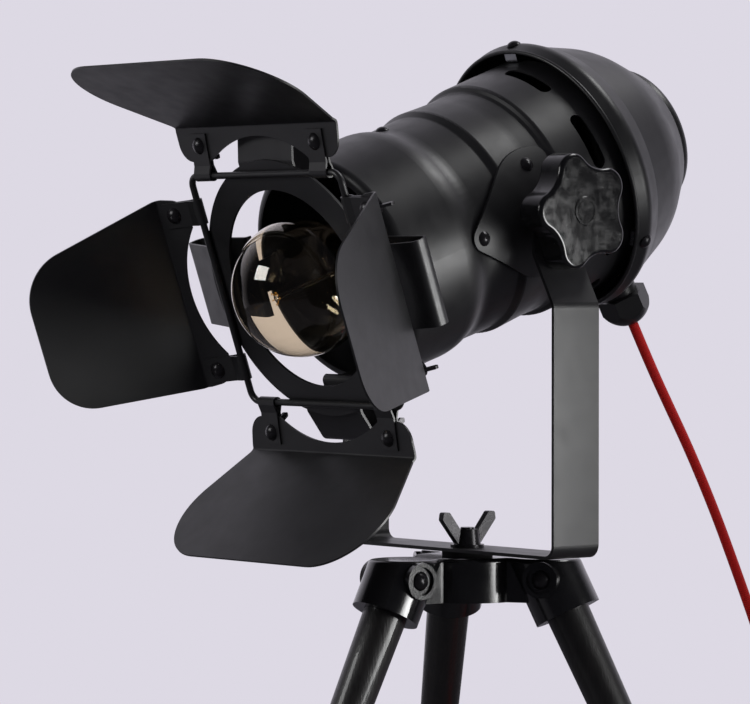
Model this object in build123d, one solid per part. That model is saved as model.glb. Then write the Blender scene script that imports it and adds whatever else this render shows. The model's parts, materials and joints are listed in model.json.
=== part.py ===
from build123d import *
from math import asin, cos, hypot, radians, sin, sqrt, tan
import os

# Searchlight table lamp on a tripod. Millimetres, +Z up, the lamp looks towards -Y.
# The origin is on the table, under the middle of the lamp without its cord.
# "Forward" sizes run along the head's own axis from the tilt axis, towards the lens end.

# ---- general fits ----
running_gap = 0.05          # radial gap of a shaft that turns in a hole
face_gap = 0.05             # gap between flat faces that turn on each other
seat_gap = 0.1              # gap between fitted pieces of one assembly

# ---- tripod ----
swivel_y = 44.0             # the swivel axis lies behind the origin
tripod_top = 226.0          # hub's top face above the table
hub_core_radius = 32.0
hub_core_height = 26.0
hub_arm_width = 26.0
hub_edge_round = 2.5
socket_radius = 20.0
socket_reach = 47.0         # socket axis from the swivel axis, at the hub's top face
socket_length = 36.0
leg_splay = 26.0            # degrees from upright
leg_names = ["leg_front", "leg_right", "leg_left"]
leg_radius = 13.0
leg_tip_radius = 9.5
leg_depth = 8.0             # leg's upper end below the hub's top, along the leg
leg_top_chamfer = 5.0
leg_end_gap = 11.0          # leg's lower end to the table, along the leg
foot_wall = 2.2
foot_grip = 18.0            # how far a rubber foot reaches up the leg
clamp_depth = 13.0          # clamp bolt below the hub's top, along the leg
clamp_radius = 3.0
clamp_boss_radius = 10.7
clamp_boss_height = 2.6
clamp_recess_radius = 8.2     # round recess that the bolt's head and nut sit in
clamp_recess_depth = 2.2
clamp_head_radius = 5.6
clamp_head_height = 3.2
clamp_nut_size = 10.0       # across flats
clamp_nut_height = 4.0

# ---- swivel joint ----
stud_radius = 4.0
friction_washer_radius = 15.0
friction_washer_height = 3.0
strip_washer_radius = 10.0
strip_washer_height = 1.6
stud_end_above_nut = 1.0
stud_head_radius = 8.0
stud_head_height = 5.0

# ---- wing nut ----
wing_boss_radius = 8.0
wing_boss_top_radius = 6.8
wing_boss_height = 9.0
wing_thickness = 4.6
wing_span = 38.4
wing_height = 19.2
wing_turn = 86.0            # degrees, where the tightened nut stopped

# ---- yoke ----
strip_width = 34.5
strip_thickness = 2.0
yoke_width = 193.4          # over the arms
yoke_height = 199.35        # underside of the strip to the tilt axis
yoke_corner = 7.0           # middle radius of the lower bends
joggle_low = 53.85          # start of the arms' inward bend, below the tilt axis
joggle_high = 23.95         # end of that bend, below the tilt axis
joggle_round = 6.0
tab_width_over = 159.0      # over the tabs' outer faces
tab_corner = 12.0
tab_above_axis = 17.2

# ---- head ----
head_tilt = 19.3            # degrees nose-down at rest
spun_wall = 1.0
mouth_z = 107.0
mouth_lip_radius = 62.6
mouth_radius = 68.6
mouth_round = 6.0
flare_z = 59.0
flare_radius = 69.7
waist_front_z = 48.5
waist_front_radius = 65.9
waist_rear_z = 23.0
waist_rear_radius = 66.6
crest_z = 18.5
crest_radius = 69.0
hollow_z = -4.0
hollow_radius = 68.1
shelf_z = -17.5
shelf_radius = 68.6
drum_front_z = -20.5
can_rear_z = -70.0
can_rear_radius = 73.0
drum_taper = 1.0
drum_front_radius = can_rear_radius - drum_taper
can_rear_lip = 4.0
step_round = 3.0
vent_count = 8
vent_z = -48.0
vent_length = 35.0
vent_width = 9.0
vent_first_angle = 22.5

# ---- rear cap ----
cap_gap = 8.4               # between the can's rear rim and the cap's front edge
cap_front_z = -60.5
cap_front_radius = can_rear_radius + cap_gap
cap_band = 8.5              # front edge to the widest ring
cap_radius = cap_front_radius + 2.2
cap_crease_z = -82.0        # pressed line where the band meets the dome
cap_crease_radius = cap_radius - 6.6
dome_mid_z = -111.0
dome_mid_radius = cap_crease_radius - 10.5
cap_step_z = -135.5
cap_step_radius = dome_mid_radius - 19.0
end_disc_radius = cap_step_radius - 3.0
end_disc_z = -145.3
end_disc_round = 6.0
cap_bead_radius = 1.3
standoff_count = 3
standoff_width = 10.0
standoff_sheet = 1.2
standoff_low_flange = 6.0
standoff_high_flange = 8.0
standoff_z = -63.0
standoff_slack = 0.7

# ---- saddles, studs and star knobs at the tilt axis ----
saddle_thickness = 1.5
saddle_disc_radius = 38.0
saddle_lobe = (49.5, 0.5, 7.5)      # forward, up, radius of the lobe ahead of the disc
saddle_rear_cut = -16.0             # the disc is cut off in front of the drum's step
saddle_corner = 6.0
saddle_rivets_at = [(0.0, 29.0), (49.5, 0.5), (0.0, -29.0)]     # forward, up
rivet_radius = 2.0
rivet_head_radius = 4.3
rivet_head_height = 2.2
rivet_tail_height = 1.0
collar_radius = 11.0
stud_inner_head_height = 2.0
stud_past_tab = 18.5
insert_radius = 7.0
insert_flange_radius = 11.0
insert_flange = 1.5
insert_length = 16.0
knob_lobes = 5
knob_radius = 34.3
knob_valley_radius = 26.5
knob_lobe_round = 11.0
knob_boss_radius = 15.0
knob_boss_length = 5.0
knob_thickness = 18.5
knob_edge_round = 2.5
knob_disc_radius = 8.4
knob_disc_depth = 1.2
knob_disc_proud = 0.6
knob_groove = (5.9, 6.5, 0.6)       # inner and outer radius, depth

# ---- lamp holder and bulb ----
bracket_width = 20.0
bracket_sheet = 1.5
bracket_z = 38.0            # middle of the cross strip
bracket_tab_end_z = 52.0
bracket_screw_z = 46.0
holder_radius = 19.0
holder_skirt_radius = 17.0
holder_base_length = 33.0
holder_length = 41.0
holder_bore_radius = 14.4
holder_floor = 14.0
screw_shell_wall = 0.8
bulb_cap_radius = 13.2
bulb_cap_length = 25.0
contact_height = 1.5
contact_radius = 5.0
globe_radius = 40.0
globe_z = 132.0
glass_wall = 0.8
bulb_neck_radius = 16.5
bulb_neck_z = 88.0
stem_radius = 5.0
stem_tip_z = 118.0
filament_circle = 8.0
filament_low_z = 112.0
filament_high_z = 138.0
filament_legs = 8
filament_wire_radius = 0.5
filament_bend = 0.7
terminal_size = (22.0, 12.0, 14.0)
lead_radius = 1.2
lead_spread = 5.0

# ---- cable gland and cord ----
gland_z = -96.99            # where the gland's axis leaves the cap's wall
gland_lean = 10.0           # degrees behind square to the head's axis
gland_standout = 34.93
gland_collar_radius = 10.5
gland_thread_radius = 7.9
gland_inside = 9.0
gland_nut_size = 27.0       # across flats
gland_nut_length = 20.6
gland_nut_dome = 11.0
locknut_height = 4.0
cord_radius = 3.1
seal_radius = 6.5
seal_length = 12.0

# ---- front frame ----
ring_inner_radius = 59.5
ring_outer_radius = 77.4
ring_thickness = 1.6
ring_ahead_of_mouth = 25.9
rod_radius = 2.0
frame_half = 69.5           # middle of the rod from the head's axis
frame_corner = 6.5
clip_sheet = 1.5
clip_width = 50.0
clip_foot_width = 20.0
clip_foot_reach = 12.0      # how far a foot reaches into the mouth
clip_bend = 10.0            # between the middles of a hook's two legs
clip_rear_ahead = 8.8       # rear leg in front of the mouth
clip_reach_side = 106.0
clip_reach_upright = 96.5
clip_tab_inner = 63.0
clip_tab_outer = 76.0

# ---- barn-door leaves ----
leaf_sheet = 1.2
leaf_fold = 29.0            # fold line from the rod's middle
leaf_bend = 56.0            # degrees between flange and panel
leaf_bend_round = 2.1
leaf_ear = 8.5              # ears' free edge from the rod's middle
leaf_ear_slant = 2.5
leaf_ear_round = 12.0
leaf_cut = 22.5             # depth of the round cut-out between the ears, from the rod's middle
upright_leaf = {"half_fold": 75.0, "flare": 22.0, "length": 86.0, "corner": 37.5, "strap_at": 54.0, "ear": 46.0}
side_leaf = {"half_fold": 58.0, "flare": -9.0, "length": 92.0, "corner": 29.5, "strap_at": 48.0, "ear": 39.0}
leaves = {                  # turn about the head's axis, rest angle of the flange, kind
    "top": (0, -7.0, upright_leaf, clip_reach_upright),
    "left": (90, 18.0, side_leaf, clip_reach_side),
    "bottom": (180, 10.0, upright_leaf, clip_reach_upright),
    "right": (270, 3.0, side_leaf, clip_reach_side),
}
strap_sheet = 1.0
strap_width = 15.0
strap_length = 25.0
strap_rear_length = 23.0
strap_screw_at = 18.0
strap_screw_radius = 2.5
strap_head_radius = 5.0
strap_head_height = 3.0
thumb_boss_radius = 4.5
thumb_boss_height = 5.5
thumb_span = 20.0
thumb_height = 10.0
thumb_sheet = 1.8

# ---- cord on the table ----
cord_drop_points = [
    (0, 176.29, 362.44), (0, 190.53, 337.06), (0, 207, 311.5), (0, 224, 284.6), (0, 245.8, 244.6),
    (0, 265.7, 204.3), (1, 283.9, 164), (3, 297.9, 123), (6, 307.9, 81), (10, 316.9, 42), (17, 331.9, 14),
    (32, 354.9, 3.1), (58, 372.9, 3.1), (90, 370.9, 3.1), (117, 350.9, 3.1), (130, 319.9, 3.1),
    (131.5, 286.9, 5.2), (127.05, 259.4, 9),
]
cord_link_points = [(116.95, 202.4, 9), (113.4, 188.9, 6.2), (108.6, 174.4, 3.1), (101.3, 161.6, 3.1)]
cord_end_points = [
    (20.4, 169.4, 9.6), (17.5, 187.9, 8.2), (9, 206.9, 4.6), (-8, 223.4, 3.1), (-26.5, 233.1, 4.0),
    (-45, 237.9, 6.9),
]
coil_x = 58.0
coil_y = 148.9
coil_middle_radius = 34.0
coil_low_turns = 3
coil_high_turns = 2
tie_sheet = 0.8
tie_width_angle = 20.0

# ---- in-line switch ----
switch_x = 122.0
switch_y = 230.9
switch_heading = -100.0     # degrees, along the cord
switch_length = 58.0
switch_width = 26.0
switch_height = 18.0
switch_split = 8.5
switch_wall = 1.8
switch_round = 4.0
rocker_pivot_z = 15.5
rocker_half_length = 9.0
rocker_width = 12.0
rocker_rest = 8.0           # degrees
rocker_gap = 0.5
trunnion_radius = 1.5
trunnion_reach = 8.0
ear_thickness = 2.0

# ---- mains plug with two round pins ----
plug_heading = 170.0
plug_length = 36.0
plug_boot_length = 22.0
plug_width = 35.0
plug_neck_width = 16.0
plug_height = 13.7
pin_radius = 2.0
pin_length = 19.0
pin_spacing = 18.6

# ---- places worked out from the sizes ----
strip_z = tripod_top + friction_washer_height + face_gap
axis_z = strip_z + yoke_height
tab_outer_x = tab_width_over / 2
tab_inner_x = tab_outer_x - strip_thickness
stud_tip_x = tab_outer_x + stud_past_tab
stud_hole = stud_radius + running_gap
cap_shoulder_z = cap_front_z - cap_band
ring_z = mouth_z + ring_ahead_of_mouth
rod_z = ring_z + ring_thickness + rod_radius

forward = Vector(0, -cos(radians(head_tilt)), -sin(radians(head_tilt)))
head = Plane(origin=(0, swivel_y, axis_z), x_dir=(1, 0, 0), z_dir=forward).location
swivel = Location((0, swivel_y, 0))
side_view = Plane(origin=(0, 0, 0), x_dir=(0, 0, 1), z_dir=(-1, 0, 0))


# ---- helpers ----
def beside(points, radii, distance):
    """An open outline moved to its left by a distance, with its bend radii to match."""
    at = [Vector(*p) for p in points]
    ways = [(b - a).normalized() for a, b in zip(at, at[1:])]
    sides = [Vector(-w.Y, w.X) for w in ways]
    moved = [at[0] + sides[0] * distance]
    bends = []
    for i, radius in enumerate(radii):
        before, after = sides[i], sides[i + 1]
        moved.append(at[i + 1] + (before + after) * (distance / (1 + before.dot(after))))
        left_turn = ways[i].X * ways[i + 1].Y > ways[i].Y * ways[i + 1].X
        bends.append(max(radius + (-distance if left_turn else distance), 0) if radius else 0)
    moved.append(at[-1] + sides[-1] * distance)
    return moved, bends


def between(first, first_bends, second, second_bends):
    """The face between two open outlines that run side by side."""
    lines = [FilletPolyline(*first, radius=first_bends), FilletPolyline(*second, radius=second_bends)]
    ends = [Line(first[0], second[0]), Line(first[-1], second[-1])]
    return make_face([e for part in lines + ends for e in part.edges()])


def sheet_face(points, radii, thickness):
    """Edge view of a bent sheet whose middle follows the points."""
    return between(*beside(points, radii, thickness / 2), *beside(points, radii, -thickness / 2))


def bent_sheet(points, radii, thickness, width):
    """A sheet bent along points in the YZ plane, of a width along X."""
    return extrude(Plane.YZ * sheet_face(points, radii, thickness), width / 2, both=True)


def spun_shell(points, radii, wall):
    """A shell spun about Z; points are (radius, height) of its outside, from front to rear."""
    return revolve(Plane.XZ * between(points, radii, *beside(points, radii, -wall)), Axis.Z)


def spun_solid(points, radii):
    """The same outline filled up to the Z axis."""
    outline = FilletPolyline(*points, radius=radii)
    first, last = points[0], points[-1]
    sides = Polyline((first[0], first[1]), (0, first[1]), (0, last[1]), (last[0], last[1]))
    return revolve(Plane.XZ * make_face(outline.edges() + sides.edges()), Axis.Z)


def rod(radius, start, end):
    """A round bar along Z from start to end."""
    return Pos(0, 0, start) * Cylinder(radius, end - start, align=(Align.CENTER, Align.CENTER, Align.MIN))


def tube(outer, inner, start, end):
    return rod(outer, start, end) - rod(inner, start, end)


def hexagon(across_flats, start, end):
    prism = extrude(RegularPolygon(across_flats / 2, 6, major_radius=False), end - start)
    return Pos(0, 0, start) * prism


def along(point, way):
    """Placement whose Z axis points along a direction."""
    return Plane(origin=point, z_dir=way).location


def domed_head(radius, height, seat):
    """A round head with a domed top, standing on the height of its seat."""
    ball = (radius * radius + height * height) / (2 * height)
    cap = Pos(0, 0, seat + height - ball) * Sphere(ball)
    return cap & rod(radius, seat, seat + height)


def group(*pieces):
    return Compound([s for p in pieces for s in p.solids()])


def mirrored(piece):
    return mirror(piece, Plane.YZ)


def cord_tube(name, points, radius):
    """A round tube along straight runs and arcs as large as the runs allow."""
    at = [Vector(*p) for p in points]
    runs = [b - a for a, b in zip(at, at[1:])]
    bends = []
    for first, second in zip(runs, runs[1:]):
        shorter = min(first.length, second.length)
        bends.append(0.45 * shorter / tan(radians(first.get_angle(second) / 2)))
    path = FilletPolyline(*at, radius=bends)
    section = along(at[0], runs[0]) * Circle(radius)
    solid = sweep(section, path=path)
    share = solid.volume / (section.area * path.length)
    print(f"{name}: length {path.length:.1f}, volume share {share:.4f}, radii {[round(b) for b in bends]}")
    return solid


# ---- tripod ----
front_leg = Plane(
    origin=(0, -socket_reach, tripod_top), x_dir=(1, 0, 0),
    z_dir=(0, -sin(radians(leg_splay)), -cos(radians(leg_splay))),
).location
leg_end = tripod_top / cos(radians(leg_splay)) - leg_end_gap
clamp_boss_end = socket_radius + clamp_boss_height
clamp_seat = clamp_boss_end - clamp_recess_depth


def leg_solid(gap):
    """The front leg along its own axis, tapered, its upper end chamfered, grown by a gap."""
    top, wide = leg_depth - gap, leg_radius + gap
    outline = [(0, top), (wide - leg_top_chamfer, top), (wide, top + leg_top_chamfer)]
    outline += [(wide, socket_length), (leg_tip_radius + gap, leg_end), (0, leg_end)]
    return front_leg * revolve(Plane.XZ * make_face(Polyline(*outline, close=True)), Axis.Z)


def clamp_bolt():
    """Clamp bolt across a socket, along its own Z: domed head, shank and nut."""
    shank_end = -clamp_seat - clamp_nut_height - 1
    nut = hexagon(clamp_nut_size, -clamp_seat - clamp_nut_height, -clamp_seat)
    head_part = domed_head(clamp_head_radius, clamp_head_height, clamp_seat)
    return head_part + rod(clamp_radius, shank_end, clamp_seat) + nut


def make_tripod():
    """Cast hub with three sockets, the legs, their rubber feet and clamp bolts."""
    above = Pos(0, 0, tripod_top) * Cylinder(
        2 * socket_reach, 4 * socket_radius, align=(Align.CENTER, Align.CENTER, Align.MIN)
    )
    below = Pos(0, 0, -tripod_top) * Box(4 * tripod_top, 4 * tripod_top, 2 * tripod_top)
    middle_z = tripod_top - hub_core_height / 2
    arm = Pos(0, -socket_reach / 2, middle_z) * Box(hub_arm_width, socket_reach, hub_core_height)
    arm = fillet(arm.edges().filter_by(Axis.Y).group_by(Axis.Z)[-1], hub_edge_round)
    socket = front_leg * rod(socket_radius, -socket_radius, socket_length) - above
    socket = fillet(socket.faces().sort_by(Axis.Z)[-1].edges(), hub_edge_round)
    across = front_leg * Location((0, 0, clamp_depth), (0, 90, 0))
    bosses = across * rod(clamp_boss_radius, -clamp_boss_end, clamp_boss_end) - above
    recess = rod(clamp_recess_radius, clamp_seat, clamp_boss_end + 1)
    recess += rod(clamp_recess_radius, -clamp_boss_end - 1, -clamp_seat)
    arm = arm + bosses + socket
    leg = leg_solid(0)
    hole = across * rod(clamp_radius + running_gap, -2 * socket_radius, 2 * socket_radius)
    drilled = leg - hole
    foot = front_leg * rod(leg_tip_radius + foot_wall, leg_end - foot_grip, leg_end + 2 * leg_end_gap)
    foot = foot - leg - below
    bolt = across * clamp_bolt()
    hub = rod(hub_core_radius, tripod_top - hub_core_height, tripod_top)
    hub = fillet(hub.edges().sort_by(Axis.Z)[-1], hub_edge_round)
    turns = [Rot(0, 0, 360 / len(leg_names) * i) for i in range(len(leg_names))]
    for turn in turns:
        hub += turn * arm
    for turn in turns:
        hub -= turn * leg_solid(running_gap)
        hub -= turn * hole
        hub -= turn * across * recess
    hub -= rod(stud_radius, 0, tripod_top + 1)
    hub -= rod(stud_head_radius, 0, tripod_top - hub_core_height + stud_head_height)
    legs = {name: swivel * turn * drilled for name, turn in zip(leg_names, turns)}
    feet = [swivel * turn * foot for turn in turns]
    bolts = [swivel * turns[0] * bolt, swivel * turns[1] * mirrored(bolt), swivel * turns[2] * bolt]
    return swivel * hub, legs, group(*feet), group(*bolts)


def make_swivel():
    """Stud, washers and wing nut on the swivel axis."""
    washer_top = strip_z + strip_thickness + strip_washer_height
    nut_seat = washer_top + face_gap
    head_low = tripod_top - hub_core_height
    stud_top = nut_seat + wing_boss_height + stud_end_above_nut
    stud = rod(stud_radius, head_low, stud_top) + rod(stud_head_radius, head_low, head_low + stud_head_height)
    lower = tube(friction_washer_radius, stud_hole, tripod_top, strip_z - face_gap)
    upper = tube(strip_washer_radius, stud_hole, washer_top - strip_washer_height, washer_top)
    boss = Pos(0, 0, nut_seat) * Cone(
        wing_boss_radius, wing_boss_top_radius, wing_boss_height, align=(Align.CENTER, Align.CENTER, Align.MIN)
    )
    nut = boss + Pos(0, 0, nut_seat) * wings(wing_span, wing_height, wing_thickness, wing_boss_radius)
    nut -= rod(stud_hole, nut_seat - 1, stud_top + 1)
    return swivel * stud, swivel * lower, swivel * upper, swivel * Rot(0, 0, wing_turn) * nut


def wings(span, height, thickness, boss):
    """The two wings of a wing nut, in the XZ plane, standing on Z = 0."""
    half = span / 2
    outline = [
        (boss / 2, height * 0.04), (boss * 1.05, height * 0.04), (half, height * 0.76),
        (half - boss * 0.08, height), (half - boss * 0.6, height), (boss * 0.75, height * 0.42),
        (boss / 2, height * 0.42),
    ]
    ear = make_face(Polyline(*outline, close=True))
    ear = fillet([v for v in ear.vertices() if v.Y > height * 0.7], height / 12)
    wing = extrude(Plane.XZ * ear, thickness / 2, both=True)
    return wing + mirrored(wing)


# ---- yoke ----
def make_yoke():
    arm_x = yoke_width / 2 - strip_thickness / 2
    tab_x = tab_outer_x - strip_thickness / 2
    top = yoke_height + tab_above_axis
    half = [(arm_x, strip_thickness / 2), (arm_x, yoke_height - joggle_low)]
    half += [(tab_x, yoke_height - joggle_high), (tab_x, top)]
    path = [(-x, z) for x, z in reversed(half)] + half
    bends = [joggle_round, joggle_round, yoke_corner, yoke_corner, joggle_round, joggle_round]
    strip = extrude(Plane.XZ * sheet_face(path, bends, strip_thickness), strip_width / 2, both=True)
    corners = [e for e in strip.edges().filter_by(Axis.X) if e.center().Z > top - 0.5]
    strip = fillet(corners, tab_corner)
    pivots = Rot(0, 90, 0) * rod(stud_hole, -yoke_width, yoke_width)
    strip -= Pos(0, 0, yoke_height) * pivots
    strip -= rod(stud_hole, -1, strip_thickness + 1)
    return Pos(0, swivel_y, strip_z) * strip


# ---- head shells ----
can_line = [
    (mouth_lip_radius, mouth_z), (mouth_radius, mouth_z), (flare_radius, flare_z),
    (waist_front_radius, waist_front_z), (waist_rear_radius, waist_rear_z), (crest_radius, crest_z),
    (hollow_radius, hollow_z), (shelf_radius, shelf_z), (drum_front_radius, drum_front_z),
    (can_rear_radius, can_rear_z), (can_rear_radius - can_rear_lip, can_rear_z),
]
can_bends = [mouth_round - 1, 30, 25, step_round, step_round, 60, step_round, step_round, 2]
cap_line = [
    (cap_front_radius, cap_front_z), (cap_radius, cap_shoulder_z), (cap_crease_radius, cap_crease_z),
    (dome_mid_radius, dome_mid_z), (cap_step_radius, cap_step_z), (end_disc_radius, cap_step_z),
    (end_disc_radius, end_disc_z), (0, end_disc_z),
]
cap_bends = [8, 0, 60, 0, 0, end_disc_round]


def radius_at(line, z):
    """Outside radius of a spun outline at a height on it."""
    for (r0, z0), (r1, z1) in zip(line, line[1:]):
        if z0 >= z >= z1 and z0 > z1:
            return r0 + (r1 - r0) * (z0 - z) / (z0 - z1)


def make_can():
    can = spun_shell(can_line, can_bends, spun_wall)
    slot = SlotOverall(vent_length, vent_width)
    for i in range(vent_count):
        angle = radians(vent_first_angle + 360 / vent_count * i)
        way = (cos(angle), sin(angle), 0)
        place = Plane(origin=(0, 0, vent_z), x_dir=(-sin(angle), cos(angle), 0), z_dir=way)
        can -= place * Pos(0, 0, shelf_radius / 2) * extrude(slot, can_rear_radius)
    for forward_at, up_at in saddle_rivets_at:
        for side in (1, -1):
            can -= rivet_place(forward_at, up_at, side) * rod(rivet_radius, 0, saddle_outer + 1)
    can -= Rot(0, 90, 0) * rod(stud_hole, -can_rear_radius, can_rear_radius)
    for side in (1, -1):
        can -= holder_screw_place(side) * rod(rivet_radius, 0, can_rear_radius)
    return can


def make_cap():
    cap = spun_shell(cap_line[:-1] + [(1, end_disc_z)], cap_bends, spun_wall)
    cap += rod(2, end_disc_z, end_disc_z + spun_wall)
    bead_at = cap_front_radius - cap_bead_radius + 0.4
    bead = revolve(Plane.XZ * Pos(bead_at, cap_front_z) * Circle(cap_bead_radius), Axis.Z)
    cap += bead
    cap -= gland_place * rod(gland_thread_radius, -gland_inside, gland_collar_radius)
    for i in range(standoff_count):
        cap -= standoff_place(i) * rod(rivet_radius, can_rear_radius, cap_radius + 1)
    return cap


def standoff_place(index):
    """Placement on a standoff's screw: Z radial, Y forward, the first one on top."""
    angle = radians(90 + 360 / standoff_count * index)
    way = (cos(angle), sin(angle), 0)
    screw_z = standoff_z - standoff_high_flange / 2
    return Plane(origin=(0, 0, screw_z), x_dir=(-sin(angle), cos(angle), 0), z_dir=way).location


def make_standoffs():
    """C-shaped brackets between can and cap."""
    low = can_rear_radius + standoff_sheet / 2 + seat_gap
    sag = standoff_width * standoff_width / 8 / cap_radius
    room = min(radius_at(cap_line, z) for z in (standoff_z, standoff_z - standoff_high_flange)) - spun_wall
    high = room - standoff_sheet / 2 - sag - standoff_slack
    front = standoff_high_flange / 2
    path = [(front - standoff_low_flange, low), (front, low), (front, high), (-front, high)]
    bracket = bent_sheet(path, [1.2, 1.2], standoff_sheet, standoff_width)
    bracket -= rod(rivet_radius + running_gap, high - 2, cap_radius)
    return [standoff_place(i) * bracket for i in range(standoff_count)]


def make_shell_screw(shell_radius, shank):
    """Pan-head screw standing on a shell's outside, along its own Z."""
    sunk = spun_wall * 0.5
    head_part = rod(rivet_head_radius, shell_radius - sunk, shell_radius)
    head_part += domed_head(rivet_head_radius, rivet_head_height, shell_radius)
    return head_part + rod(rivet_radius, shell_radius - shank, shell_radius)


# ---- tilt axis ----
saddle_inner = crest_radius + running_gap
saddle_outer = saddle_inner + saddle_thickness


def rivet_place(forward_at, up_at, side):
    """Placement with Z radial through a rivet of the right (1) or left (-1) saddle."""
    angle = asin(up_at / saddle_outer)
    return along((0, 0, forward_at), (side * cos(angle), sin(angle), 0))


def make_saddles():
    """Curved pads riveted to the can's sides, with a stud through each."""
    lobe_forward, lobe_up, lobe_radius = saddle_lobe
    rounds = [Circle(saddle_disc_radius), Pos(lobe_forward, lobe_up) * Circle(lobe_radius)]
    outline = make_hull([e for c in rounds for e in c.edges()])
    behind = Rectangle(saddle_disc_radius, 3 * saddle_disc_radius, align=(Align.MAX, Align.CENTER))
    outline = outline - Pos(saddle_rear_cut, 0) * behind
    outline = fillet(outline.vertices().group_by(Axis.X)[0], saddle_corner)
    prism = extrude(side_view * outline, -2 * saddle_outer)
    front = lobe_forward + lobe_radius
    saddle = prism & tube(saddle_outer, saddle_inner, saddle_rear_cut - 1, front + 1)
    saddle -= Rot(0, 90, 0) * rod(stud_hole, 0, can_rear_radius)
    rivets = []
    for forward_at, up_at in saddle_rivets_at:
        place = rivet_place(forward_at, up_at, 1)
        saddle -= place * rod(rivet_radius, 0, saddle_outer + 1)
        inside = radius_at(can_line, forward_at) - spun_wall
        rivet = rod(rivet_radius, inside - rivet_tail_height, saddle_outer)
        rivet += domed_head(rivet_head_radius, rivet_head_height, saddle_outer)
        rivet += rod(rivet_head_radius * 0.8, inside - rivet_tail_height - 0.2, inside - 0.2)
        rivets.append(place * rivet)
    inner_face = sqrt((radius_at(can_line, 0) - spun_wall) ** 2 - stud_head_radius**2) - seat_gap
    stud = Rot(0, 90, 0) * rod(stud_radius, inner_face - stud_inner_head_height, stud_tip_x)
    stud += Rot(0, 90, 0) * rod(stud_head_radius, inner_face - stud_inner_head_height, inner_face)
    collar = Rot(0, 90, 0) * rod(collar_radius, saddle_inner - collar_radius, tab_inner_x - face_gap)
    stud += collar - rod(saddle_outer + seat_gap, -2 * collar_radius, 2 * collar_radius)
    pieces = (group(saddle), group(*rivets), group(stud))
    return [group(piece, mirrored(piece)) for piece in pieces]


def knob_outline():
    """Star outline: round lobes joined by hollows that touch them smoothly."""
    lobe_at = knob_radius - knob_lobe_round
    turn = radians(180 / knob_lobes)
    reach = lobe_at * lobe_at + knob_valley_radius**2 - knob_lobe_round**2
    reach -= 2 * lobe_at * knob_valley_radius * cos(turn)
    hollow = reach / (2 * knob_lobe_round + 2 * lobe_at * cos(turn) - 2 * knob_valley_radius)
    hollow_at = knob_valley_radius + hollow
    arcs = []
    for i in range(knob_lobes):
        middle = 2 * i * turn
        lobe = Vector(lobe_at * cos(middle), lobe_at * sin(middle))
        touches = []
        for side in (-1, 1):
            valley = Vector(hollow_at * cos(middle + side * turn), hollow_at * sin(middle + side * turn))
            touches.append(lobe + (valley - lobe).normalized() * knob_lobe_round)
        tip = Vector(knob_radius * cos(middle), knob_radius * sin(middle))
        arcs.append(ThreePointArc(touches[0], tip, touches[1]))
        low = Vector(knob_valley_radius * cos(middle + turn), knob_valley_radius * sin(middle + turn))
        next_lobe = Vector(lobe_at * cos(middle + 2 * turn), lobe_at * sin(middle + 2 * turn))
        valley = Vector(hollow_at * cos(middle + turn), hollow_at * sin(middle + turn))
        start = next_lobe + (valley - next_lobe).normalized() * knob_lobe_round
        arcs.append(ThreePointArc(touches[1], low, start))
    return make_face([e for a in arcs for e in a.edges()])


def make_knob():
    """Star knob and its threaded insert, built along Z from the tab's outer face."""
    flange_start = tab_outer_x + face_gap
    boss_start = flange_start + insert_flange
    star_start = boss_start + knob_boss_length
    star_end = star_start + knob_thickness
    star = Pos(0, 0, star_start) * extrude(knob_outline(), knob_thickness)
    star = fillet(star.faces().sort_by(Axis.Z)[-1].edges(), knob_edge_round)
    star = fillet(star.faces().sort_by(Axis.Z)[0].edges(), knob_edge_round / 2)
    knob = star + rod(knob_boss_radius, boss_start, star_start)
    insert_end = boss_start + insert_length
    knob -= rod(insert_radius, boss_start, insert_end) + rod(stud_hole, insert_end, stud_tip_x + 1)
    knob -= rod(knob_disc_radius, star_end - knob_disc_depth, star_end)
    disc_face = star_end + knob_disc_proud
    disc = rod(knob_disc_radius, star_end - knob_disc_depth, disc_face)
    disc = chamfer(disc.edges().sort_by(Axis.Z)[-1], knob_disc_proud / 2)
    groove_inner, groove_outer, groove_depth = knob_groove
    groove = tube(groove_outer, groove_inner, disc_face - groove_depth, disc_face + 1)
    insert = rod(insert_flange_radius, flange_start, boss_start) + rod(insert_radius, boss_start, insert_end)
    insert -= rod(stud_hole, flange_start - 1, insert_end + 1)
    pieces = [group(knob, disc - groove), insert]
    upright = Plane(origin=(0, 0, 0), x_dir=(0, 1, 0), z_dir=(1, 0, 0)).location
    return [upright * piece for piece in pieces]


# ---- lamp holder, bulb and wiring ----
def holder_screw_place(side):
    """Placement on a holder screw on the can's top (1) or bottom (-1): Z radial."""
    return Pos(0, 0, bracket_screw_z) * Rot(-90 * side, 0, 0)


def make_head_screws(can, cap):
    """Screws that hold the lamp holder's bracket in the can and the standoffs in the cap."""
    holder_screw = make_shell_screw(radius_at(can_line, bracket_screw_z) + 0.2, 7)
    cap_screw = make_shell_screw(radius_at(cap_line, standoff_z - standoff_high_flange / 2), 5)
    screws = [holder_screw_place(side) * holder_screw - can for side in (1, -1)]
    screws += [standoff_place(i) * cap_screw - cap for i in range(standoff_count)]
    return group(*screws)


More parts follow.
